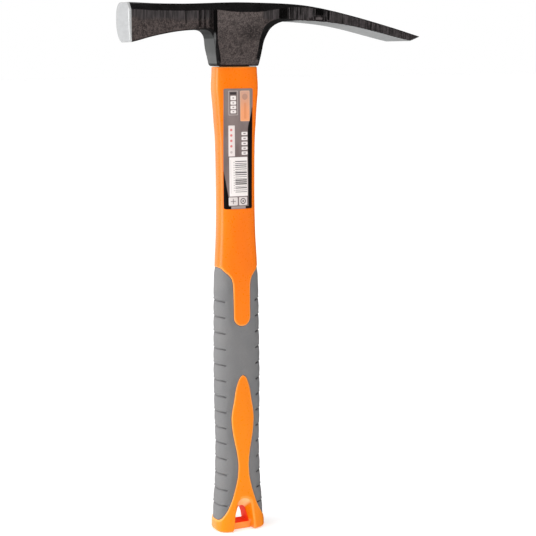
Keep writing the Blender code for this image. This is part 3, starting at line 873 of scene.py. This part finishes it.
    r_side = n.lerp(streaky, n.span(mottle, 0.3, 0.7, 0.62, 0.46),
                    n.span(streak2, 0.3, 0.7, 0.34, 0.50))
    r_side = n.lerp(smooth_lacquer_dark_reflection, r_side, 0.16)
    r_body = n.lerp(sides, n.lerp(end_face, 0.13, 0.30), r_side)
    r_body = n.math("MAXIMUM", r_body, n.span(normal[2], -0.08, -0.30, 0.0, 0.55))
    n.link(n.lerp(polish, r_body, n.math("MAXIMUM", n.span(
        turned, 0.3, 0.7, 0.36, 0.46), n.math("MULTIPLY", n.math(
            "MULTIPLY", rim, face), 0.62))), bsdf.inputs["Roughness"])
    # thick lacquer in the hollows and under the lower edges is dull
    low_side = n.math("MULTIPLY", n.span(normal[2], -0.08, -0.28),
                      n.math("SUBTRACT", 1.0, polish))
    low_side = n.math("MAXIMUM", low_side, n.math("MULTIPLY", left_edge, 0.8))
    n.link(n.lerp(low_side, 0.5, 0.10), bsdf.inputs["Specular IOR Level"])
    height = n.lerp(streaky, n.math("ADD", n.math("MULTIPLY", grain, 0.6), mottle),
                    n.math("ADD", n.math("MULTIPLY", streak, 0.6), streak2))
    rough_here = n.math("MULTIPLY", sides, n.math("SUBTRACT", 1.0, smooth_lacquer_dark_reflection))
    height = n.math("MULTIPLY", height, n.lerp(rough_here, 0.06, 1.0))
    height = n.lerp(polish, height, n.math("MULTIPLY", brushed, 0.15))
    n.link(n.bump(height, 0.45, 0.00018), bsdf.inputs["Normal"])
    return mat


def orange_material():
    """Moulded hard plastic: glossy, with a trace of flow and orange peel."""
    mat, nt, bsdf = new_material("orange_moulded_plastic")
    n = Nodes(nt)
    p = n.coord()
    flow_marks = n.noise(n.scale(p, (1.0, 1.0, 0.25)), 60, 3.0, 0.55, 0.6)
    fine = n.noise(p, 900, 2.0, 0.5)
    specks = n.noise(p, 2600, 2.0, 0.6)
    colour = n.mix(n.span(flow_marks, 0.3, 0.7), rgb(233, 110, 0), rgb(238, 116, 0))
    xyz = n.split(n.scale(p, (1000.0, 1000.0, 1000.0)))
    x, y, z = xyz[0], xyz[1], xyz[2]
    facing = n.split(n.node("ShaderNodeNewGeometry").outputs["Normal"])
    nz = facing[2]
    # a little paler towards the bottom
    colour = n.mix(n.span(z, 200.0, 20.0, 0.0, 0.75), colour, rgb(238, 138, 6))
    # painted highlight: a pale line along the jacket's raised edge against the grip, at the
    # collar's top edge and along the butt's scoop
    colour = n.mix(n.math("MULTIPLY", n.attr("edge_highlight_mask"), 0.55), colour,
                   rgb(255, 176, 92))
    colour = n.mix(n.span(z, 301.0, 301.7, 0.0, 0.5), colour, rgb(255, 186, 110))
    # painted highlight on the left-facing sides near the top
    colour = n.mix(n.math("MULTIPLY", n.span(z, 270.0, 295.0), n.span(
        facing[0], -0.55, -0.85, 0.0, 0.18)), colour, rgb(250, 150, 70))
    # deep inside the hanging hole the wall is painted a deeper red as painted shade, with a faint
    # painted glow for light passing through the plastic
    ay, ax = n.math("ABSOLUTE", y), n.math("ABSOLUTE", x)
    ny = n.math("ABSOLUTE", facing[1])
    inside = n.math("MULTIPLY", n.span(ay, 6.3, 4.9), n.span(ax, 7.0, 6.0))
    inside = n.math("MULTIPLY", inside, n.math("MULTIPLY", n.span(z, 17.5, 16.0),
                                               n.span(ny, 0.75, 0.45)))
    colour = n.mix(inside, colour, rgb(238, 60, 0))
    # painted light: the arch's downward-facing ceiling is paler, where light from the floor falls
    # on it
    arch = n.math("MULTIPLY", n.span(ax, 8.2, 7.2), n.span(z, 25.0, 24.0))
    arch = n.math("MULTIPLY", arch, n.span(ay, 4.9, 5.6))
    lit_ceiling = n.math("MULTIPLY", arch, n.span(nz, -0.25, -0.6))
    colour = n.mix(n.math("MULTIPLY", lit_ceiling, 0.8), colour, rgb(254, 200, 140))
    # painted highlight on the upward-facing lip below the hole
    lit_sill = n.math("MULTIPLY", n.math("SUBTRACT", 1.0, inside), n.math(
        "MULTIPLY", arch, n.math("MULTIPLY", n.span(z, 7.0, 5.5),
                                 n.span(ax, 6.6, 5.8))))
    colour = n.mix(n.math("MULTIPLY", lit_sill, 0.7), colour, rgb(250, 170, 100))
    # painted glow inside the hole
    glow = n.math("MULTIPLY", inside, 0.10)
    bsdf.inputs["Emission Color"].default_value = (1.0, 0.07, 0.02, 1)
    n.link(glow, bsdf.inputs["Emission Strength"])
    n.link(colour, bsdf.inputs["Base Color"])
    scuff = n.noise(n.scale(p, (1.0, 1.0, 0.35)), 300, 4.0, 0.65, 0.5)
    worn = n.math("MULTIPLY", n.span(z, 30.0, 0.0), n.span(scuff, 0.5, 0.7))
    worn = n.math("MAXIMUM", worn, inside)
    n.link(n.lerp(worn, n.span(fine, 0.3, 0.7, 0.27, 0.34), 0.52),
           bsdf.inputs["Roughness"])
    n.link(n.lerp(inside, 0.38, 0.1), bsdf.inputs["Specular IOR Level"])
    bsdf.inputs["Subsurface Weight"].default_value = 0.08
    bsdf.inputs["Subsurface Radius"].default_value = (1.0, 0.35, 0.08)
    bsdf.inputs["Subsurface Scale"].default_value = 0.0015
    bsdf.inputs["IOR"].default_value = 1.47
    height = n.math("ADD", fine, n.math("MULTIPLY", specks, 0.25))
    n.link(n.bump(height, 0.05, 0.00008), bsdf.inputs["Normal"])
    return mat


def rubber_material():
    """Soft grip: matt, finely textured, with painted shade in the grooves."""
    mat, nt, bsdf = new_material("grey_soft_grip")
    n = Nodes(nt)
    p = n.coord()
    cloud = n.noise(p, 45, 4.0, 0.6)
    cell = n.node("ShaderNodeTexVoronoi", feature="SMOOTH_F1")
    cell.inputs["Scale"].default_value = 2300
    n.link(p, cell.inputs["Vector"])
    fine = n.noise(p, 1500, 3.0, 0.6)
    colour = n.mix(n.span(cloud, 0.3, 0.7), rgb(108, 108, 109), rgb(117, 116, 116))
    colour = n.mix(n.span(fine, 0.35, 0.7, 0.0, 0.35), colour, rgb(104, 103, 104))
    groove_shade = n.attr("groove_shade")
    # painted shade in the grooves
    colour = n.mix(n.math("MULTIPLY", groove_shade, 0.75), colour, rgb(48, 45, 46))
    # painted highlight on the groove lips
    colour = n.mix(n.math("MULTIPLY", n.attr("lip_highlight"), 0.7), colour,
                   rgb(196, 196, 196))
    n.link(colour, bsdf.inputs["Base Color"])
    n.link(n.span(cloud, 0.3, 0.7, 0.58, 0.70), bsdf.inputs["Roughness"])
    bsdf.inputs["Sheen Weight"].default_value = 0.05
    bsdf.inputs["Sheen Roughness"].default_value = 0.5
    height = n.math("ADD", cell.outputs["Distance"], n.math("MULTIPLY", fine, 0.5))
    n.link(n.bump(height, 0.35, 0.00012), bsdf.inputs["Normal"])
    return mat


def label_material():
    """Printed film: plain panels, bars and dots, no lettering."""
    mat, nt, bsdf = new_material("printed_film")
    n = Nodes(nt)
    p = n.coord()
    xyz = n.split(n.scale(p, (1000.0, 1000.0, 1000.0)))
    x, z = xyz[0], xyz[2]

    def box(x0, x1, z0, z1, r=0.3, soft=0.10):
        dx = n.math("SUBTRACT", n.math("ABSOLUTE", n.math(
            "SUBTRACT", x, (x0 + x1) / 2)), (x1 - x0) / 2 - r)
        dz = n.math("SUBTRACT", n.math("ABSOLUTE", n.math(
            "SUBTRACT", z, (z0 + z1) / 2)), (z1 - z0) / 2 - r)
        dx, dz = n.math("MAXIMUM", dx, 0.0), n.math("MAXIMUM", dz, 0.0)
        d = n.math("SQRT", n.math("ADD", n.math("MULTIPLY", dx, dx),
                                  n.math("MULTIPLY", dz, dz)))
        return n.math("MULTIPLY_ADD", n.math("SUBTRACT", r, d), 1 / soft, 0.5,
                      clamp=True)

    def ring(x0, x1, z0, z1, w, r=0.3):
        return n.math("SUBTRACT", box(x0, x1, z0, z1, r),
                      box(x0 + w, x1 - w, z0 + w, z1 - w, max(r - w, 0.05)))

    def disc(cx, cz, radius, soft=0.10):
        dx, dz = n.math("SUBTRACT", x, cx), n.math("SUBTRACT", z, cz)
        d = n.math("SQRT", n.math("ADD", n.math("MULTIPLY", dx, dx),
                                  n.math("MULTIPLY", dz, dz)))
        return n.math("MULTIPLY_ADD", n.math("SUBTRACT", radius, d), 1 / soft, 0.5,
                      clamp=True)

    cloud = n.noise(n.scale(p, (1.0, 1.0, 0.5)), 120, 3.0, 0.5)
    colour = n.mix(n.span(cloud, 0.3, 0.7), rgb(108, 94, 92), rgb(126, 112, 110))
    colour = n.mix(n.span(x, -7.5, -10.5, 0.0, 0.45), colour, rgb(84, 74, 74))
    colour = n.mix(n.span(z, 255.0, 282.0, 0.0, 0.35), colour, rgb(140, 124, 120))
    # black field down the right edge and in the lower left corner
    edge = n.math("SUBTRACT", x, n.span(z, 262.0, 276.0, 5.5, 8.4))
    edge = n.math("MULTIPLY_ADD", edge, 6.0, 0.5, clamp=True)
    edge = n.math("MULTIPLY", edge, n.span(z, 277.0, 275.5))
    slant = n.math("MULTIPLY_ADD", n.math("SUBTRACT", 237.0, z), 0.16, -10.7)
    slant = n.math("SUBTRACT", n.math("MINIMUM", slant, -7.9), x)
    slant = n.math("MULTIPLY_ADD", slant, 6.0, 0.5, clamp=True)
    black = n.math("MAXIMUM", edge, slant)
    black = n.math("MAXIMUM", black, box(-10.6, -6.6, 210.0, 214.4, 0.1))
    black = n.math("MAXIMUM", black, box(3.4, 10.0, 210.0, 214.2, 0.1))
    colour = n.mix(black, colour, rgb(13, 8, 7))
    # outlined weight panel with plain blocks
    pale = rgb(214, 205, 202)
    colour = n.mix(n.math("MULTIPLY", ring(-7.6, -1.3, 271.8, 287.0, 0.32), 0.55),
                   colour, pale)
    colour = n.mix(box(-6.7, -2.2, 284.6, 286.2, 0.15), colour, rgb(58, 50, 52))
    for z0, z1 in ((281.2, 283.9), (278.4, 280.6), (275.6, 277.8), (273.0, 275.0)):
        colour = n.mix(box(-6.3, -2.5, z0, z1, 0.6), colour, rgb(226, 218, 215))
        colour = n.mix(box(-5.0, -3.8, (z0 + z1) / 2 - 0.35, (z0 + z1) / 2 + 0.35, 0.3),
                       colour, rgb(140, 124, 122))
    # warm panel
    warm = n.mix(n.span(z, 272.0, 287.0), rgb(226, 150, 104), rgb(196, 150, 128))
    colour = n.mix(box(0.4, 6.9, 267.9, 287.0, 0.6), colour, warm)
    colour = n.mix(n.math("MULTIPLY", ring(0.4, 6.9, 267.9, 287.0, 0.35, 0.6), 0.5),
                   colour, rgb(236, 190, 160))
    colour = n.mix(n.math("MULTIPLY", disc(3.6, 283.2, 1.9), 0.55), colour,
                   rgb(150, 116, 104))
    colour = n.mix(n.math("MULTIPLY", box(3.0, 4.6, 269.5, 279.5, 0.5), 0.45), colour,
                   rgb(206, 122, 72))
    # pale strip with a row of marks
    colour = n.mix(box(-7.8, -3.6, 246.0, 265.4, 0.3), colour, rgb(216, 205, 202))
    for zc in (262.6, 259.2, 255.8, 252.4):
        colour = n.mix(n.math("MULTIPLY", disc(-6.0, zc, 0.8, 0.25), 0.85), colour,
                       rgb(204, 92, 92))
    colour = n.mix(n.math("MULTIPLY", disc(-6.0, 248.6, 0.8, 0.25), 0.5), colour,
                   rgb(140, 120, 118))
    # plain blocks beside it
    for z0, z1 in ((259.2, 261.2), (256.0, 258.2), (252.9, 255.0), (249.9, 251.9),
                   (246.8, 248.9)):
        colour = n.mix(box(1.0, 5.2, z0, z1, 0.5), colour, rgb(222, 214, 211))
        colour = n.mix(box(2.2, 4.0, (z0 + z1) / 2 - 0.3, (z0 + z1) / 2 + 0.3, 0.25),
                       colour, rgb(120, 106, 104))
    # striped panel
    colour = n.mix(box(-7.4, 5.0, 220.7, 245.4, 0.15), colour, rgb(226, 219, 216))
    pitch = n.math("MULTIPLY", z, 1 / 1.20)
    row = n.math("FLOOR", pitch)
    noise = n.node("ShaderNodeTexWhiteNoise", noise_dimensions="1D")
    n.link(row, noise.inputs["W"])
    bars = n.math("LESS_THAN", n.math("FRACT", pitch), n.math(
        "MULTIPLY_ADD", noise.outputs["Value"], 0.55, 0.18))
    colour = n.mix(n.math("MULTIPLY", n.math("MULTIPLY", bars, box(
        -3.6, 4.5, 222.9, 243.6, 0.05)), 0.88), colour, rgb(40, 34, 36))
    dots = n.math("SINE", n.math("MULTIPLY", z, 3.9))
    dots = n.math("MULTIPLY", n.span(dots, 0.1, 0.6), box(-4.7, -4.0, 223.2, 243.2, 0.1))
    colour = n.mix(n.math("MULTIPLY", dots, 0.55), colour, rgb(96, 88, 90))
    colour = n.mix(n.math("MULTIPLY", box(-6.6, -6.3, 222.5, 243.8, 0.1), 0.4), colour,
                   rgb(96, 88, 90))
    # two tiles
    for x0, x1 in ((-8.0, -2.2), (-1.3, 4.5)):
        colour = n.mix(box(x0, x1, 214.9, 220.1, 0.6), colour, rgb(208, 199, 196))
    colour = n.mix(n.math("SUBTRACT", disc(1.6, 217.5, 1.9), disc(1.6, 217.5, 1.3)),
                   colour, rgb(84, 74, 76))
    colour = n.mix(disc(1.6, 217.5, 0.6), colour, rgb(84, 74, 76))
    colour = n.mix(n.math("MULTIPLY", box(-6.8, -3.4, 217.2, 217.8, 0.2), 0.7), colour,
                   rgb(96, 86, 88))
    colour = n.mix(n.math("MULTIPLY", box(-5.4, -4.8, 215.8, 219.2, 0.2), 0.7), colour,
                   rgb(96, 86, 88))
    colour = n.mix(box(-6.4, 3.2, 212.9, 214.3, 0.2), colour, rgb(150, 138, 134))
    n.link(colour, bsdf.inputs["Base Color"])
    wrinkle = n.noise(n.scale(p, (1.0, 1.0, 0.5)), 260, 3.0, 0.5)
    n.link(n.span(wrinkle, 0.3, 0.7, 0.38, 0.50), bsdf.inputs["Roughness"])
    bsdf.inputs["Specular IOR Level"].default_value = 0.35
    bsdf.inputs["Coat Weight"].default_value = 0.04
    bsdf.inputs["Coat Roughness"].default_value = 0.25
    n.link(n.bump(n.math("ADD", wrinkle, n.math("MULTIPLY", n.noise(p, 2200, 2.0),
                                                0.1)), 0.10, 0.00008),
           bsdf.inputs["Normal"])
    return mat


def fibre_material():
    """Sawn end of a pultruded rod: pale, with the ends of the rovings."""
    mat, nt, bsdf = new_material("glass_fibre_rod")
    n = Nodes(nt)
    p = n.coord()
    rovings = n.node("ShaderNodeTexVoronoi", feature="F1")
    rovings.inputs["Scale"].default_value = 1500
    n.link(n.scale(p, (1.0, 1.0, 0.01)), rovings.inputs["Vector"])
    strand = n.noise(n.scale(p, (1.0, 1.0, 0.01)), 2400, 3.0, 0.6)
    colour = n.mix(n.span(rovings.outputs["Distance"], 0.1, 0.5),
                   rgb(214, 208, 178), rgb(176, 168, 128))
    colour = n.mix(n.span(strand, 0.3, 0.7, 0.0, 0.5), colour, rgb(196, 186, 146))
    n.link(colour, bsdf.inputs["Base Color"])
    n.link(n.span(strand, 0.3, 0.7, 0.42, 0.62), bsdf.inputs["Roughness"])
    bsdf.inputs["Subsurface Weight"].default_value = 0.1
    bsdf.inputs["Subsurface Scale"].default_value = 0.001
    n.link(n.bump(n.math("ADD", rovings.outputs["Distance"], strand), 0.3, 0.0001),
           bsdf.inputs["Normal"])
    return mat


def resin_material():
    """Cast epoxy round the rod, dark amber, with fine bubbles."""
    mat, nt, bsdf = new_material("cast_epoxy")
    n = Nodes(nt)
    p = n.coord()
    bubbles = n.node("ShaderNodeTexVoronoi", feature="F1")
    bubbles.inputs["Scale"].default_value = 900
    n.link(p, bubbles.inputs["Vector"])
    cloud = n.noise(p, 260, 3.0, 0.6)
    colour = n.mix(n.span(cloud, 0.3, 0.7), rgb(66, 50, 34), rgb(88, 68, 44))
    colour = n.mix(n.span(bubbles.outputs["Distance"], 0.16, 0.10), colour,
                   rgb(128, 108, 76))
    n.link(colour, bsdf.inputs["Base Color"])
    n.link(n.span(cloud, 0.3, 0.7, 0.14, 0.30), bsdf.inputs["Roughness"])
    height = n.math("ADD", n.math("MULTIPLY", n.span(
        bubbles.outputs["Distance"], 0.05, 0.16), 0.5), cloud)
    n.link(n.bump(height, 0.4, 0.0001), bsdf.inputs["Normal"])
    return mat


# ------------------------------------------------------------------- assembly
def place(piece, node, material):
    piece.data.materials.append(material)
    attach(piece, "root")
    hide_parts(node)


place(build_head(), "head", steel_material())
place(build_jacket(), "handle_jacket", orange_material())
place(build_grip(), "grip_overmould", rubber_material())
place(build_label(), "label", label_material())
for node, material in (("fibre_core", fibre_material()),
                       ("eye_resin", resin_material())):
    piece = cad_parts[node]
    piece.data.materials.clear()
    piece.data.materials.append(material)


# ---------------------------------------------------------- floor, sky, lamps
def floor_material():
    mat, nt, bsdf = new_material("pale_floor")
    n = Nodes(nt)
    v = n.noise(n.coord(), 6.0, 3.0)
    n.link(n.mix(v, rgb(246, 246, 246), rgb(250, 250, 250)),
           bsdf.inputs["Base Color"])
    bsdf.inputs["Roughness"].default_value = 0.9
    bsdf.inputs["Specular IOR Level"].default_value = 0.1
    bsdf.inputs["Emission Color"].default_value = (1, 1, 1, 1)
    bsdf.inputs["Emission Strength"].default_value = 0.30
    return mat


bpy.ops.mesh.primitive_plane_add(size=30, location=(0, 0, 0))
floor = bpy.context.object
floor.name = "floor"
floor.data.materials.append(floor_material())
floor.visible_glossy = False

world = bpy.data.worlds.new("studio")
bpy.context.scene.world = world
world.use_nodes = True
nt = world.node_tree
nt.nodes.clear()
n = Nodes(nt)
out = n.node("ShaderNodeOutputWorld")
direction = n.split(n.node("ShaderNodeTexCoord").outputs["Generated"])
height = n.math("MULTIPLY_ADD", direction[2], 0.5, 0.5)
sky = n.ramp(height, [(0.0, 0.5), (0.2, 0.45), (0.42, 0.38), (0.56, 0.4),
                      (0.65, 0.12), (0.75, 0.024), (1.0, 0.016)])
# darker to the front left, where the camera stands, and at the far right


def toward(at, lo, hi):
    dot = n.node("ShaderNodeVectorMath", operation="DOT_PRODUCT")
    n.link(n.node("ShaderNodeTexCoord").outputs["Generated"], dot.inputs[0])
    dot.inputs[1].default_value = at
    return n.span(dot.outputs["Value"], lo, hi)


dark = n.math("MAXIMUM", toward((-0.259, -0.966, 0.0), 0.39, 0.52),
              toward((0.90, 0.43, 0.0), 0.70, 0.82))
sky = n.mix(n.math("MULTIPLY", toward((0.70, -0.71, 0.0), 0.50, 0.88), 0.75), sky,
            (0.003, 0.003, 0.003, 1))
sky = n.mix(toward((-0.438, 0.90, 0.0), 0.78, 0.92), sky, (0.6, 0.6, 0.6, 1))
glow = n.mix(n.math("MULTIPLY", dark, 0.985), sky, (0.003, 0.003, 0.003, 1))
shown = n.mix(n.node("ShaderNodeLightPath").outputs["Is Camera Ray"],
              glow, (0.4, 0.4, 0.4, 1))
bg = n.node("ShaderNodeBackground")
n.link(shown, bg.inputs[0])
bg.inputs[1].default_value = 2.5
n.link(bg.outputs[0], out.inputs[0])


def softbox(name, at, to, size, watts, colour=(1, 1, 1)):
    data = bpy.data.lights.new(name, "AREA")
    data.shape = "RECTANGLE"
    data.size, data.size_y = size
    data.energy = watts
    data.color = colour
    lamp = bpy.data.objects.new(name, data)
    bpy.context.scene.collection.objects.link(lamp)
    lamp.location = at
    lamp.rotation_euler = (Vector(to) - Vector(at)).to_track_quat(
        "-Z", "Y").to_euler()
    return lamp


fill = softbox("front_right", (0.95, -1.45, 0.35), (0, 0, 0.2), (0.75, 1.3), 6.8)
fill.visible_glossy = False
softbox("left", (-1.7, 0.1, 0.4), (0, 0, 0.2), (0.9, 1.2), 22)
sun_data = bpy.data.lights.new("overhead", "SUN")
sun_data.energy = 3.0
sun_data.angle = math.radians(100)
sun = bpy.data.objects.new("overhead", sun_data)
bpy.context.scene.collection.objects.link(sun)
sun.rotation_euler = Vector((0.35, 0.45, -0.82)).to_track_quat("-Z", "Y").to_euler()
sun.visible_glossy = False


# ------------------------------------------------------------------- camera
def place_camera(az, el, roll, focal_px, mm_per_px, target, at_px):
    """Camera that shows target at pixel at_px of a 536 frame."""
    a, e = math.radians(az), math.radians(el)
    back = Vector((math.sin(a) * math.cos(e), -math.cos(a) * math.cos(e),
                   math.sin(e)))
    right = Vector((math.cos(a), math.sin(a), 0))
    up = back.cross(right)
    dist = focal_px * mm_per_px * MM
    dx, dy = (at_px[0] - 268) / focal_px, -(at_px[1] - 268) / focal_px
    pos = Vector(target) * MM + back * dist - right * dx * dist - up * dy * dist
    cam = bpy.data.cameras.new("camera")
    obj = bpy.data.objects.new("camera", cam)
    bpy.context.scene.collection.objects.link(obj)
    rot = math.radians(roll)
    r2 = right * math.cos(rot) + up * math.sin(rot)
    u2 = up * math.cos(rot) - right * math.sin(rot)
    from mathutils import Matrix
    obj.matrix_world = Matrix(((r2.x, u2.x, back.x, pos.x),
                               (r2.y, u2.y, back.y, pos.y),
                               (r2.z, u2.z, back.z, pos.z), (0, 0, 0, 1)))
    cam.sensor_width = 36
    cam.lens = focal_px / 536 * 36
    cam.clip_end = 50
    bpy.context.scene.camera = obj


place_camera(-26.0, 8.75, -0.25, 1400, 0.6448, (0, 0, 173.3), (235.75, 268))

scene = bpy.context.scene
scene.view_settings.view_transform = "Standard"
scene.view_settings.look = "None"
